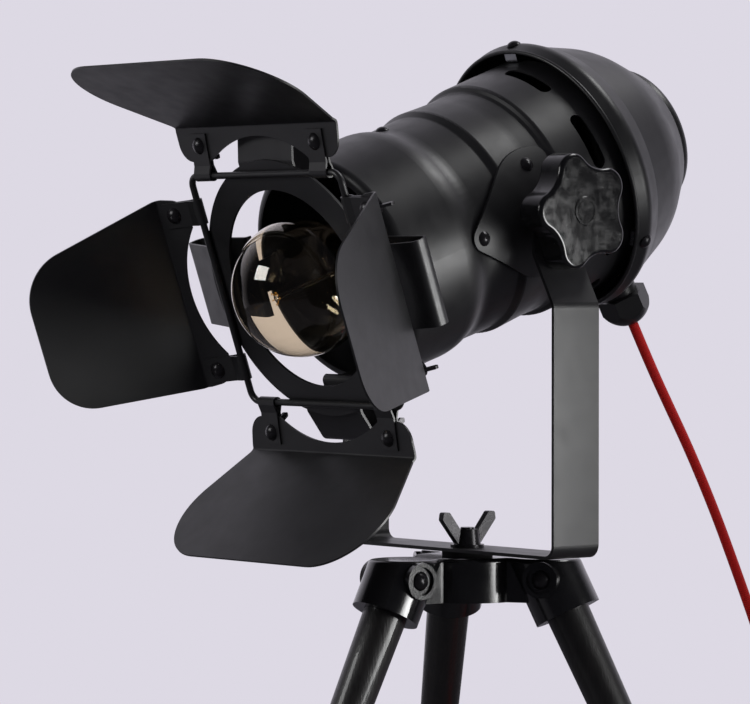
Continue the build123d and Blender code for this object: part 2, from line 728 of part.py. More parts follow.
def make_holder():
    wall = sqrt((min(waist_front_radius, waist_rear_radius) - spun_wall) ** 2 - (bracket_width / 2) ** 2)
    tab = wall - bracket_sheet / 2 - seat_gap
    path = [(tab, bracket_tab_end_z), (tab, bracket_z), (-tab, bracket_z), (-tab, bracket_tab_end_z)]
    bracket = bent_sheet(path, [3, 3], bracket_sheet, bracket_width)
    bracket -= holder_screw_place(1) * rod(rivet_radius, -wall - 1, wall + 1)
    base = bracket_z + bracket_sheet / 2
    body = rod(holder_radius, base, base + holder_base_length)
    body = fillet(body.edges().sort_by(Axis.Z)[-1], 2)
    body += rod(holder_skirt_radius, base + holder_base_length, base + holder_length)
    floor = base + holder_floor
    body -= rod(holder_bore_radius, floor, base + holder_length + 1)
    shell = tube(holder_bore_radius, holder_bore_radius - screw_shell_wall, floor, base + holder_length - 3)
    contact = rod(contact_radius, floor, floor + contact_height)
    return group(bracket), body, group(shell, contact), floor + contact_height


def make_bulb(contact_face):
    cap_end = contact_face + bulb_cap_length
    metal = tube(bulb_cap_radius, bulb_cap_radius - 0.4, contact_face + 3, cap_end)
    metal += Pos(0, 0, contact_face) * Cone(
        contact_radius * 0.8, bulb_cap_radius, 3, align=(Align.CENTER, Align.CENTER, Align.MIN)
    )
    neck_low = bulb_cap_radius - 0.4 - seat_gap

    def envelope(inset):
        """Globe and neck as one filled shape, its wall moved in by an inset."""
        neck = [(neck_low - inset, cap_end - 6), (neck_low - inset, cap_end)]
        neck += [(bulb_neck_radius - inset, bulb_neck_z), (globe_radius * 0.62 - inset, globe_z - globe_radius * 0.7)]
        neck += [(globe_radius * 0.62 - inset, globe_z - globe_radius * 0.5)]
        return spun_solid(neck, [0, 10, 8]) + Pos(0, 0, globe_z) * Sphere(globe_radius - inset)

    glass = envelope(0) - envelope(glass_wall)
    low = cap_end - 6
    stem_line = [(0, low), (neck_low - glass_wall - seat_gap, low), (stem_radius, low + 10), (stem_radius * 0.6, stem_tip_z)]
    stem = revolve(Plane.XZ * make_face(Polyline(*stem_line, (0, stem_tip_z), close=True)), Axis.Z)
    zigzag = []
    for i in range(filament_legs):
        angle = 2 * radians(180) * i / filament_legs
        z = filament_low_z if i % 2 else filament_high_z
        zigzag.append((filament_circle * cos(angle), filament_circle * sin(angle), z))
    wire_path = FilletPolyline(*zigzag, radius=[filament_bend] * (filament_legs - 2))
    first_run = Vector(*zigzag[1]) - Vector(*zigzag[0])
    half_angle = radians(180 - first_run.get_angle(Vector(*zigzag[2]) - Vector(*zigzag[1]))) / 2
    hook_rise = filament_bend * (1 / sin(half_angle) - 1)
    wire = sweep(along(zigzag[0], first_run) * Circle(filament_wire_radius), path=wire_path)
    for x, y, z in zigzag[1:-1:2]:
        spoke = rod(filament_wire_radius, stem_radius * 0.66, filament_circle)
        wire += along((0, 0, z + hook_rise), (x, y, 0)) * spoke
    return glass, metal, stem, wire


def make_wiring():
    """Terminal block behind the bracket and two leads from the gland to it."""
    rear = bracket_z - bracket_sheet / 2
    block = Pos(0, 0, rear - terminal_size[2] / 2) * Box(*terminal_size)
    block = chamfer(block.edges().filter_by(Axis.Z), 1)
    start = gland_place * Location((0, 0, -gland_inside))
    inner = start.position
    leads = []
    for side in (1, -1):
        x = side * lead_spread / 2
        points = [
            (side * 1.4, inner.Y, inner.Z), (side * 1.8, inner.Y + 18, inner.Z + 6), (x, -22, inner.Z + 26),
            (x, -8, inner.Z + 56), (x, -3, inner.Z + 90), (x, 0, rear - terminal_size[2]),
        ]
        leads.append(cord_tube("lead", points, lead_radius))
    return block, group(*leads)


# ---- cable gland ----
gland_way = Vector(0, -cos(radians(gland_lean)), -sin(radians(gland_lean)))
gland_place = Plane(
    origin=(0, -radius_at(cap_line, gland_z), gland_z), x_dir=(1, 0, 0), z_dir=gland_way
).location


def make_gland():
    """Gland along its own axis; Z = 0 is where the axis leaves the cap's wall."""
    nut_start = gland_standout - gland_nut_length
    solid_cap = spun_solid(cap_line[:-1], cap_bends[:-1])
    inner_cap = spun_solid(*inner_cap_line())
    collar = gland_place * rod(gland_collar_radius, -gland_collar_radius, nut_start) - solid_cap
    thread = rod(gland_thread_radius, -gland_inside, nut_start)
    spigot = rod(seal_radius + 1.2, nut_start, gland_standout - gland_nut_dome)
    body = collar + gland_place * (thread + spigot)
    bore = rod(cord_radius, -gland_inside - 1, gland_standout + 1)
    seal_start = gland_standout - gland_nut_dome - seal_length + 2
    seal_room = rod(seal_radius, seal_start, gland_standout - 2)
    body -= gland_place * (bore + seal_room)
    locknut = gland_place * tube(gland_collar_radius + 1, gland_thread_radius, -2 * locknut_height, locknut_height)
    locknut = locknut & inner_cap
    cut = gland_place * Pos(0, 0, -locknut_height * 2.2) * Box(60, 60, 4, align=(Align.CENTER, Align.CENTER, Align.MAX))
    locknut -= cut
    dome = rod(gland_nut_size, nut_start, gland_standout - gland_nut_dome)
    ball_radius = gland_nut_size * 0.6
    dome += Pos(0, 0, gland_standout - ball_radius) * Sphere(ball_radius) & rod(ball_radius, nut_start, gland_standout)
    nut = hexagon(gland_nut_size, nut_start, gland_standout) & dome
    nut -= rod(seal_radius + 1.2, nut_start - 1, gland_standout - gland_nut_dome) + seal_room + bore
    seal = tube(seal_radius, cord_radius, seal_start, gland_standout - 2)
    cord_inside = rod(cord_radius, -gland_inside, gland_standout)
    return group(body, locknut), gland_place * nut, gland_place * seal, gland_place * cord_inside


def inner_cap_line():
    """Inside outline of the cap's dome and the bends to match."""
    line, bends = beside(cap_line[:-1], cap_bends[:-1], -spun_wall)
    return [(p.X, p.Y) for p in line], bends


# ---- front frame ----
def make_ring():
    return tube(ring_outer_radius, ring_inner_radius, ring_z, ring_z + ring_thickness)


def make_wire_frame():
    """Round rod bent to a square with round corners."""
    straight = frame_half - frame_corner
    frame = None
    for i in range(4):
        bar = Pos(0, frame_half, rod_z) * Rot(0, 90, 0) * rod(rod_radius, -straight, straight)
        bend = revolve(Plane.XZ * Pos(frame_corner, 0) * Circle(rod_radius), Axis.Z, 90)
        corner = Pos(straight, straight, rod_z) * bend
        side = Rot(0, 0, 90 * i) * (bar + corner)
        frame = side if frame is None else frame + side
    return frame


def make_clips():
    """Four sheet hooks between the can's mouth and the ring's rear face."""
    half = clip_foot_width / 2
    foot = sqrt(mouth_lip_radius**2 - half * half) - clip_sheet / 2 - 2 * seat_gap
    tip = sqrt((mouth_radius - spun_wall) ** 2 - half * half) - clip_sheet / 2 - seat_gap
    rear = mouth_z + clip_rear_ahead
    front = rear + clip_bend
    tab = ring_z - clip_sheet / 2
    clips = []
    for turn, _, _, reach in leaves.values():
        top = reach - clip_sheet / 2
        path = [
            (tip, mouth_z - clip_foot_reach), (foot, mouth_z - clip_foot_reach + 6), (foot, rear),
            (top, rear), (top, front), (clip_tab_outer, tab), (clip_tab_inner, tab),
        ]
        bends = [2, 3, clip_bend * 0.48, clip_bend * 0.4, 3]
        clip = bent_sheet(path, bends, clip_sheet, clip_width)
        for side in (1, -1):
            trim = Box(clip_width, 2 * half + 4, 40, align=(Align.MIN, Align.CENTER, Align.MAX))
            trim = Pos(half, foot + 2, mouth_z + clip_rear_ahead - 3) * trim
            clip -= trim if side == 1 else mirrored(trim)
        clips.append(Rot(0, 0, turn) * clip)
    return group(*clips)


# ---- leaves ----
def leaf_place(turn, rest):
    """Placement of a leaf: X along the rod, Y outwards in the flange, Z forward."""
    return Rot(0, 0, turn) * Pos(0, frame_half, rod_z) * Rot(rest, 0, 0)


def make_leaf(kind):
    """Bent sheet: a flange with two ears, a fold and a large panel."""
    half, near = kind["half_fold"], 3.0
    flange_end = leaf_fold - near
    arc = ThreePointArc((kind["ear"], leaf_ear), (0, leaf_cut), (-kind["ear"], leaf_ear))
    right = [(kind["ear"], leaf_ear), (half - leaf_ear_slant, leaf_ear), (half, flange_end)]
    outline = [Polyline(*right), Polyline(*[(-x, y) for x, y in right]), Line(right[-1], (-half, flange_end)), arc]
    flat = make_face([e for part in outline for e in part.edges()])
    ears = [v for v in flat.vertices() if abs(abs(v.X) - half + leaf_ear_slant) < 0.1 and v.Y < leaf_ear + 0.1]
    flat = fillet(ears, leaf_ear_round)
    flange = extrude(flat, leaf_sheet / 2, both=True)
    angle = radians(leaf_bend)
    fold = [(flange_end, 0), (leaf_fold, 0), (leaf_fold + near * cos(angle), near * sin(angle))]
    bend = bent_sheet(fold, [leaf_bend_round], leaf_sheet, 2 * half)
    grow = tan(radians(kind["flare"]))
    far = half + grow * kind["length"]
    panel = make_face(Polyline((-half, near), (half, near), (far, kind["length"]), (-far, kind["length"]), close=True))
    panel = fillet(panel.vertices().filter_by(lambda v: v.Y > near + 1), kind["corner"])
    panel = Pos(0, leaf_fold, 0) * Rot(leaf_bend, 0, 0) * extrude(panel, leaf_sheet / 2, both=True)
    leaf = flange + bend + panel
    for side in (1, -1):
        leaf -= Pos(side * kind["strap_at"], strap_screw_at, 0) * rod(strap_screw_radius, -5, 5)
    return leaf


def make_straps(kind):
    """Two straps folded round the rod, one over each ear of a leaf."""
    level = leaf_sheet / 2 + strap_sheet / 2
    wrap = rod_radius + running_gap + strap_sheet / 2
    path = [
        (strap_length, level), (wrap * 2.4, level), (wrap * 0.6, wrap), (-wrap, wrap),
        (-wrap, -wrap), (wrap * 0.6, -wrap), (wrap * 2.4, -level), (strap_rear_length, -level),
    ]
    turn = wrap * 0.98
    strap = bent_sheet(path, [1, 1, turn, turn, 1, 1], strap_sheet, strap_width)
    strap -= Pos(0, strap_screw_at, 0) * rod(strap_screw_radius, -5, 5)
    return group(*[Pos(side * kind["strap_at"], 0, 0) * strap for side in (1, -1)])


def make_strap_screws(kind):
    """Pan-head screws from the front with small wing nuts behind."""
    face = leaf_sheet / 2 + strap_sheet
    screw = rod(strap_screw_radius, -face - thumb_boss_height - 1, face)
    screw += domed_head(strap_head_radius, strap_head_height, face)
    nut = rod(thumb_boss_radius, 0, thumb_boss_height)
    nut += wings(thumb_span, thumb_height, thumb_sheet, thumb_boss_radius)
    nut -= rod(strap_screw_radius, -1, thumb_boss_height + 1)
    nut = Pos(0, 0, -face) * Rot(180, 0, 90) * nut
    pieces = [Pos(side * kind["strap_at"], strap_screw_at, 0) * piece for side in (1, -1) for piece in (screw, nut)]
    return group(*pieces)


# ---- cord, switch and plug on the table ----
def make_coil():
    """Outer shape of the neat coil of cord, and the tie round it."""
    pitch = 2 * cord_radius
    low_half, high_half = coil_low_turns * cord_radius, coil_high_turns * cord_radius
    rise = pitch + pitch * sqrt(3) / 2
    outline = [
        (-low_half, 0), (low_half, 0), (low_half, pitch * 0.9), (high_half, rise), (-high_half, rise), (-low_half, pitch * 0.9),
    ]
    section = make_face(Polyline(*outline, close=True))
    section = fillet(section.vertices(), cord_radius * 0.8)
    strap = offset(section, tie_sheet, kind=Kind.ARC) - section
    lift = Pos(coil_middle_radius, tie_sheet)
    coil = revolve(Plane.XZ * lift * section, Axis.Z)
    tie = revolve(Plane.XZ * lift * strap, Axis.Z, tie_width_angle)
    place = Pos(coil_x, coil_y, 0)
    return place * coil, place * Rot(0, 0, -60) * tie


def make_switch():
    """In-line rocker switch: two shells and a rocker, X along the cord."""
    place = Pos(switch_x, switch_y, 0) * Rot(0, 0, switch_heading)
    low = (Align.CENTER, Align.CENTER, Align.MIN)
    block = Box(switch_length, switch_width, switch_height, align=low)
    block = fillet(block.edges().filter_by(Axis.Z), switch_round)
    block = fillet(block.edges().group_by(Axis.Z)[-1], 1.5)
    room = Pos(0, 0, switch_wall) * Box(
        switch_length - 12, switch_width - 2 * switch_wall, switch_height - 2 * switch_wall, align=low
    )
    window = Box(2 * hypot(rocker_half_length, 3.2) + 2 * rocker_gap, rocker_width + 2 * rocker_gap, 2 * switch_height, align=low)
    shell = block - room
    split = Pos(0, 0, switch_split) * Box(2 * switch_length, 2 * switch_width, 2 * switch_height, align=low)
    lower = shell - split
    upper = (shell & split) - Pos(0, 0, switch_split + 1) * window
    ear_low = rocker_pivot_z - 2 * trunnion_radius
    ears = None
    for side in (1, -1):
        y = side * (rocker_width / 2 + rocker_gap + ear_thickness / 2)
        ear = Pos(0, y, ear_low) * Box(7, ear_thickness, switch_height - switch_wall - ear_low, align=low)
        ears = ear if ears is None else ears + ear
    upper += ears
    axle = Pos(0, 0, rocker_pivot_z) * Rot(90, 0, 0)
    upper -= axle * rod(trunnion_radius + running_gap, -trunnion_reach - 1, trunnion_reach + 1)
    half = rocker_half_length
    outline = [(-half, -1.5), (-half, 3.2), (0, 2.2), (half, 3.2), (half, -1.5), (0, -3)]
    rocker = extrude(Plane.XZ * make_face(Polyline(*outline, close=True)), rocker_width / 2, both=True)
    rocker += Rot(90, 0, 0) * rod(trunnion_radius, -trunnion_reach, trunnion_reach)
    rocker = Pos(0, 0, rocker_pivot_z) * Rot(0, rocker_rest, 0) * rocker
    return place * lower, place * upper, place * rocker


def make_plug():
    """Flat two-pin plug, X along the cord towards the pins."""
    entry = cord_end_points[-1]
    place = Pos(entry[0], entry[1], 0) * Rot(0, 0, plug_heading)
    low = (Align.CENTER, Align.CENTER, Align.MIN)
    neck, wide = plug_neck_width / 2, plug_width / 2
    start, end = plug_boot_length, plug_boot_length + plug_length
    outline = [(start, -neck), (start + plug_length * 0.5, -wide), (end, -wide * 0.9)]
    outline += [(x, -y) for x, y in reversed(outline)]
    body = extrude(make_face(Polyline(*outline, close=True)), plug_height)
    body = fillet(body.edges().filter_by(Axis.Z), 3)
    body = fillet(body.edges().group_by(Axis.Z)[-1], 2)
    middle = plug_height / 2
    boot = Pos(0, 0, middle) * Rot(0, 90, 0) * Cone(
        cord_radius + 0.8, plug_height / 2 - 0.6, plug_boot_length, align=low
    )
    pins = []
    for side in (1, -1):
        pin = rod(pin_radius, end, end + pin_length)
        pin = fillet(pin.edges().sort_by(Axis.Z)[-1], 1)
        pins.append(Pos(0, side * pin_spacing / 2, middle) * Rot(0, 90, 0) * pin)
    return place * (body + boot), place * group(*pins)


# ---- assembly ----
nodes = {}
nodes["tripod_hub"], legs, nodes["rubber_feet"], nodes["leg_bolts"] = make_tripod()
nodes.update(legs)
nodes["swivel_stud"], nodes["friction_washer"], nodes["strip_washer"], nodes["wing_nut"] = make_swivel()
nodes["yoke"] = make_yoke()

can, rear_cap = make_can(), make_cap()
bracket, holder, contacts, contact_face = make_holder()
glass, bulb_metal, stem, filament = make_bulb(contact_face)
saddles, rivets, studs = make_saddles()
knob, insert = make_knob()
block, leads = make_wiring()
gland_body, gland_nut, gland_seal, inner_cord = make_gland()
head_nodes = {
    "can": can,
    "rear_cap": rear_cap,
    "cap_brackets": group(*make_standoffs()),
    "head_screws": make_head_screws(can, rear_cap),
    "saddles": saddles,
    "saddle_rivets": rivets,
    "pivot_studs": studs,
    "star_knob_right": knob,
    "knob_insert_right": insert,
    "star_knob_left": mirrored(knob),
    "knob_insert_left": mirrored(insert),
    "ring_plate": make_ring(),
    "wire_frame": make_wire_frame(),
    "hook_clips": make_clips(),
    "holder_bracket": bracket,
    "lamp_holder": holder,
    "holder_contacts": contacts,
    "bulb_glass": glass,
    "bulb_cap": bulb_metal,
    "bulb_stem": stem,
    "bulb_filament": filament,
    "terminal_block": block,
    "inner_leads": leads,
    "gland_body": gland_body,
    "gland_nut": gland_nut,
    "gland_seal": gland_seal,
    "inner_cord": inner_cord,
}
for side, (turn, rest, kind, _) in leaves.items():
    place = leaf_place(turn, rest)
    head_nodes[f"leaf_{side}"] = place * make_leaf(kind)
    head_nodes[f"straps_{side}"] = place * make_straps(kind)
    head_nodes[f"strap_screws_{side}"] = place * make_strap_screws(kind)
for name, piece in head_nodes.items():
    nodes[name] = head * piece

nodes["cord_drop"] = cord_tube("cord_drop", cord_drop_points, cord_radius)
nodes["cord_link"] = cord_tube("cord_link", cord_link_points, cord_radius)
nodes["cord_end"] = cord_tube("cord_end", cord_end_points, cord_radius)
nodes["cord_coil"], nodes["cord_tie"] = make_coil()
nodes["switch_lower"], nodes["switch_upper"], nodes["switch_rocker"] = make_switch()
nodes["plug_body"], nodes["plug_pins"] = make_plug()

os.makedirs("parts", exist_ok=True)
for name, piece in nodes.items():
    export_step(group(piece), f"parts/{name}.step")

print(f"tilt axis: y {swivel_y}, z {axis_z}")
for side, (turn, rest, _, _) in leaves.items():
    at = (head * leaf_place(turn, rest)).position
    print(f"hinge of leaf_{side}: {at}")
print("nut end", (head * gland_place * Location((0, 0, gland_standout))).position)
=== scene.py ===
import bpy
import json
from math import cos, pi, radians, sin
from mathutils import Matrix, Vector


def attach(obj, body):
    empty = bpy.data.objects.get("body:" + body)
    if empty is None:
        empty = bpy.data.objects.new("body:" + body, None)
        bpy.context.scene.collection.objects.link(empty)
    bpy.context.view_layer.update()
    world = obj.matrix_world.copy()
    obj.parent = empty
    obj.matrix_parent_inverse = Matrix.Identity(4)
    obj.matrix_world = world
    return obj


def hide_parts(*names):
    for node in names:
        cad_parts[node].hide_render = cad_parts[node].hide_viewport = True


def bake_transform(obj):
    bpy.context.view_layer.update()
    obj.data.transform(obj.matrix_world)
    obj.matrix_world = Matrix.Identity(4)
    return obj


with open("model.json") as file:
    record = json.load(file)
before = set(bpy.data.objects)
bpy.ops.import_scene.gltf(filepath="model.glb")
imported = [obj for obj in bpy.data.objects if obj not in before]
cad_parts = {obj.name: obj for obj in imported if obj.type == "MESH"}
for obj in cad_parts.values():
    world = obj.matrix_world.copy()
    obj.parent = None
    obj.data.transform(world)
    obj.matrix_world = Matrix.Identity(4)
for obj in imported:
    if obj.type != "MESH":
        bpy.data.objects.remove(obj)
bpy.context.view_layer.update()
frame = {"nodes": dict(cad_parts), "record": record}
nodes = frame["nodes"]
mm = 0.001

# The lamp stands on the floor at z 0 and looks towards -Y. Lengths are in metres and colours are sRGB hex.

# The head's own axes: forward runs to the lens end, up is square to it.
tilt = radians(19.3)
pivot = Vector((0, 0.044, 0.4284))
forward = Vector((0, -cos(tilt), -sin(tilt)))
headUp = Vector((0, -sin(tilt), cos(tilt)))
headPlace = Matrix.Translation(pivot) @ Matrix((Vector((1, 0, 0)), headUp, forward)).transposed().to_4x4()


# The linear colour of a piece of sRGB hex text.
def linear(hexText):
    parts = [int(hexText[i:i + 2], 16) / 255 for i in (1, 3, 5)]
    return [c / 12.92 if c <= 0.04045 else ((c + 0.055) / 1.055) ** 2.4 for c in parts] + [1]


# Gives a node's sockets their values, or links them to another node's output.
def wire(node, inputs):
    for key, value in inputs.items():
        if isinstance(value, bpy.types.NodeSocket):
            node.id_data.links.new(value, node.inputs[key])
        else:
            node.inputs[key].default_value = value


# Adds a node with its settings and links, and hands back one of its outputs.
def addNode(tree, kind, inputs, output=0, **settings):
    made = tree.nodes.new("ShaderNode" + kind)
    for name, value in settings.items():
        setattr(made, name, value)
    wire(made, inputs)
    return made.outputs[output]


def newMaterial(name):
    made = bpy.data.materials.new(name)
    made.use_nodes = True
    return made, made.node_tree, made.node_tree.nodes["Principled BSDF"]


# Nearly all values of a noise lie between these two.
noiseSpan = {"From Min": 0.3, "From Max": 0.7}


# A linear colour multiplied by a share and then lifted.
def shifted(colour, share, lift=0.0):
    return [min(1, c * share + lift) for c in colour[:3]] + [1]


# Every coated finish: its tone clouds and gloss patches have these sizes, and its gloss strays by this much.
coating = {"cloud": 0.03, "patch": 0.011, "stray": 0.04, "coatRough": 0.08, "lighter": 1.3, "lift": 0.001}


# A painted, moulded or plated finish: fine grain in the surface, softly uneven gloss.
def coated(name, colour, rough, grain, bump, metallic=0.0, coat=0.0):
    made, tree, shader = newMaterial(name)
    shader.inputs["Metallic"].default_value = metallic
    shader.inputs["Coat Weight"].default_value = coat
    shader.inputs["Coat Roughness"].default_value = coating["coatRough"]
    base = linear(colour)
    place = addNode(tree, "TexCoord", {}, "Object")
    clouds = addNode(tree, "TexNoise", {"Vector": place, "Scale": 1 / coating["cloud"], "Detail": 3})
    share = addNode(tree, "MapRange", {"Value": clouds, **noiseSpan})
    lighter = shifted(base, coating["lighter"], coating["lift"])
    tone = addNode(tree, "Mix", {0: share, 6: base, 7: lighter}, 2, data_type="RGBA")
    patches = addNode(tree, "TexNoise", {"Vector": place, "Scale": 1 / coating["patch"], "Detail": 5})
    dull, bright = rough + coating["stray"], rough - coating["stray"]
    gloss = addNode(tree, "MapRange", {"Value": patches, **noiseSpan, "To Min": bright, "To Max": dull})
    grains = addNode(tree, "TexNoise", {"Vector": place, "Scale": 1 / grain, "Detail": 2})
    relief = addNode(tree, "Bump", {"Height": grains, "Strength": bump, "Distance": grain / 4})
    wire(shader, {"Base Color": tone, "Roughness": gloss, "Normal": relief})
    return made


# Polished phenolic: nearly a mirror, broken by finger smudges about 6 mm wide and by wipe marks that are
# 1.1 mm wide along the object's Z and 7 times as long across it.
knobLook = {"colour": "#0A0A0B", "dust": "#1A1A1C", "rough": 0.14, "film": 0.22, "smudge": 0.006,
            "wipe": 0.0011, "stretch": 7, "bump": 0.04, "relief": 0.0002}


def makeKnobMaterial():
    made, tree, shader = newMaterial("polishedPhenolic")
    place = addNode(tree, "TexCoord", {}, "Object")
    smudges = addNode(tree, "TexNoise", {"Vector": place, "Scale": 1 / knobLook["smudge"], "Detail": 6})
    stretched = addNode(tree, "Mapping", {"Vector": place, "Scale": (1, 1, knobLook["stretch"])})
    wipeScale = 1 / knobLook["wipe"] / knobLook["stretch"]
    wipes = addNode(tree, "TexNoise", {"Vector": stretched, "Scale": wipeScale, "Detail": 3})
    film = addNode(tree, "MapRange", {"Value": smudges, "From Min": 0.4, "From Max": 0.7,
                                      "To Max": knobLook["film"]})
    rough = addNode(tree, "Math", {0: film, 1: wipes, 2: knobLook["rough"]}, operation="MULTIPLY_ADD")
    bump = addNode(tree, "Bump", {"Height": smudges, "Strength": knobLook["bump"],
                                  "Distance": knobLook["relief"]})
    dust = addNode(tree, "MapRange", {"Value": wipes, "From Min": 0.55, "From Max": 0.8, "To Max": 0.5})
    tone = addNode(tree, "Mix", {0: dust, 6: linear(knobLook["colour"]), 7: linear(knobLook["dust"])}, 2,
                   data_type="RGBA")
    wire(shader, {"Base Color": tone, "Roughness": rough, "Normal": bump})
    return made


# Black-stained ash: long dark pores along the leg under a thin lacquer.
ash = {"colour": "#1A1716", "pore": "#0B0A09", "rough": 0.34, "poreRough": 0.54, "poreWidth": 0.0012,
       "ring": 0.0035, "stretch": 0.06, "lacquer": 0.3, "bump": 0.48, "relief": 0.0002}


def makeAsh():
    made, tree, shader = newMaterial("stainedAsh")
    shader.inputs["Coat Weight"].default_value = ash["lacquer"]
    place = addNode(tree, "TexCoord", {}, "Object")
    drawnOut = addNode(tree, "Mapping", {"Vector": place, "Scale": (1, 1, ash["stretch"])})
    pores = addNode(tree, "TexNoise", {"Vector": drawnOut, "Scale": 1 / ash["poreWidth"], "Detail": 6})
    rings = addNode(tree, "TexNoise", {"Vector": drawnOut, "Scale": 1 / ash["ring"], "Detail": 2})
    fine = addNode(tree, "MapRange", {"Value": pores, **noiseSpan})
    broad = addNode(tree, "MapRange", {"Value": rings, **noiseSpan, "To Min": 0.3})
    height = addNode(tree, "Math", {0: fine, 1: broad}, operation="MULTIPLY")
    tone = addNode(tree, "Mix", {0: height, 6: linear(ash["pore"]), 7: linear(ash["colour"])}, 2,
                   data_type="RGBA")
    rough = addNode(tree, "MapRange", {"Value": fine, "To Min": ash["poreRough"], "To Max": ash["rough"]})
    bump = addNode(tree, "Bump", {"Height": height, "Strength": ash["bump"], "Distance": ash["relief"]})
    wire(shader, {"Base Color": tone, "Roughness": rough, "Normal": bump})
    return made


# Braided textile cord: two sets of yarns cross round it; proud yarns keep the plain colour and the hollows
# between them get painted shade.
textile = {"colour": "#DC1A12", "shade": "#7C0806", "rough": 0.7, "sheen": 0.08, "sheenRough": 0.4,
           "specular": 0.25, "yarns": 14, "pitch": 0.0026, "fibre": 0.0004, "fuzz": 0.4, "bump": 0.5,
           "relief": 0.0003}


# The cord's UV map holds the turn round it and the metres along it.
def makeTextile():
    made, tree, shader = newMaterial("braidedTextile")
    for socket, key in (("Sheen Weight", "sheen"), ("Sheen Roughness", "sheenRough"),
                        ("Specular IOR Level", "specular"), ("Roughness", "rough")):
        shader.inputs[socket].default_value = textile[key]
    uv = addNode(tree, "UVMap", {})
    aroundIt = addNode(tree, "SeparateXYZ", {0: uv}, "X")
    alongIt = addNode(tree, "SeparateXYZ", {0: uv}, "Y")
    waves = []
    for way in (1, -1):
        rise = addNode(tree, "Math", {0: alongIt, 1: way * 2 * pi / textile["pitch"]}, operation="MULTIPLY")
        turn = addNode(tree, "Math", {0: aroundIt, 1: 2 * pi * textile["yarns"], 2: rise},
                       operation="MULTIPLY_ADD")
        waves.append(addNode(tree, "Math", {0: turn}, operation="SINE"))
    crossing = addNode(tree, "Math", {0: waves[0], 1: waves[1]}, operation="MULTIPLY")
    proud = addNode(tree, "MapRange", {"Value": crossing, "From Min": -1, "From Max": 1})
    place = addNode(tree, "TexCoord", {}, "Object")
    fibres = addNode(tree, "TexNoise", {"Vector": place, "Scale": 1 / textile["fibre"], "Detail": 4})
    height = addNode(tree, "Math", {0: fibres, 1: textile["fuzz"], 2: proud}, operation="MULTIPLY_ADD")
    # Painted shade: the colour darkens to the shade colour in the hollows between the yarns.
    tone = addNode(tree, "Mix", {0: proud, 6: linear(textile["shade"]), 7: linear(textile["colour"])}, 2,
                   data_type="RGBA")
    bump = addNode(tree, "Bump", {"Height": height, "Strength": textile["bump"], "Distance": textile["relief"]})
    wire(shader, {"Base Color": tone, "Normal": bump})
    return made


glass = {"ior": 1.5, "cloud": 0.02, "deeper": 0.98, "wave": 0.012, "relief": 0.0003}


# Thin blown glass: clear with a faint warm tint, and the slow waviness that blowing leaves, about 12 mm long.
def makeGlass(name, tint, waver):
    made, tree, shader = newMaterial(name)
    for socket, value in (("Transmission Weight", 1.0), ("Roughness", 0.0), ("IOR", glass["ior"])):
        shader.inputs[socket].default_value = value
    place = addNode(tree, "TexCoord", {}, "Object")
    clouds = addNode(tree, "TexNoise", {"Vector": place, "Scale": 1 / glass["cloud"]})
    deep = shifted(linear(tint), glass["deeper"])
    tone = addNode(tree, "Mix", {0: clouds, 6: linear(tint), 7: deep}, 2, data_type="RGBA")
    waves = addNode(tree, "TexNoise", {"Vector": place, "Scale": 1 / glass["wave"], "Detail": 1})
    bump = addNode(tree, "Bump", {"Height": waves, "Strength": waver, "Distance": glass["relief"]})
    wire(shader, {"Base Color": tone, "Normal": bump})
    return made


wireLook = {"metallic": 0.8, "rough": 0.3, "patch": 0.002, "duller": 0.5}


# Drawn wire: dark tungsten between its supports, with duller patches. Its emission is painted light: a faint
# painted glow on the filament, and together with the gold colour a painted glint where it loops over a hook.
def makeWire(name, colour, paintedGlow):
    made, tree, shader = newMaterial(name)
    for socket, value in (("Metallic", wireLook["metallic"]), ("Roughness", wireLook["rough"]),
                          ("Emission Strength", paintedGlow)):
        shader.inputs[socket].default_value = value
    shader.inputs["Emission Color"].default_value = linear(colour)
    place = addNode(tree, "TexCoord", {}, "Object")
    drawn = addNode(tree, "TexNoise", {"Vector": place, "Scale": 1 / wireLook["patch"]})
    duller = shifted(linear(colour), wireLook["duller"])
    tone = addNode(tree, "Mix", {0: drawn, 6: linear(colour), 7: duller}, 2, data_type="RGBA")
    wire(shader, {"Base Color": tone})
    return made


# The hook's gold colour and its glow are a painted glint; the filament wire's faint glow is painted light too.
bulb = {"tint": "#F7EDDA", "stem": "#F2EFE8", "waver": 0.04, "stemWaver": 0.1,
        "wire": "#3A2C1C", "paintedGlow": 0.02, "hook": "#D99A3A", "hookPaintedGlint": 0.3}
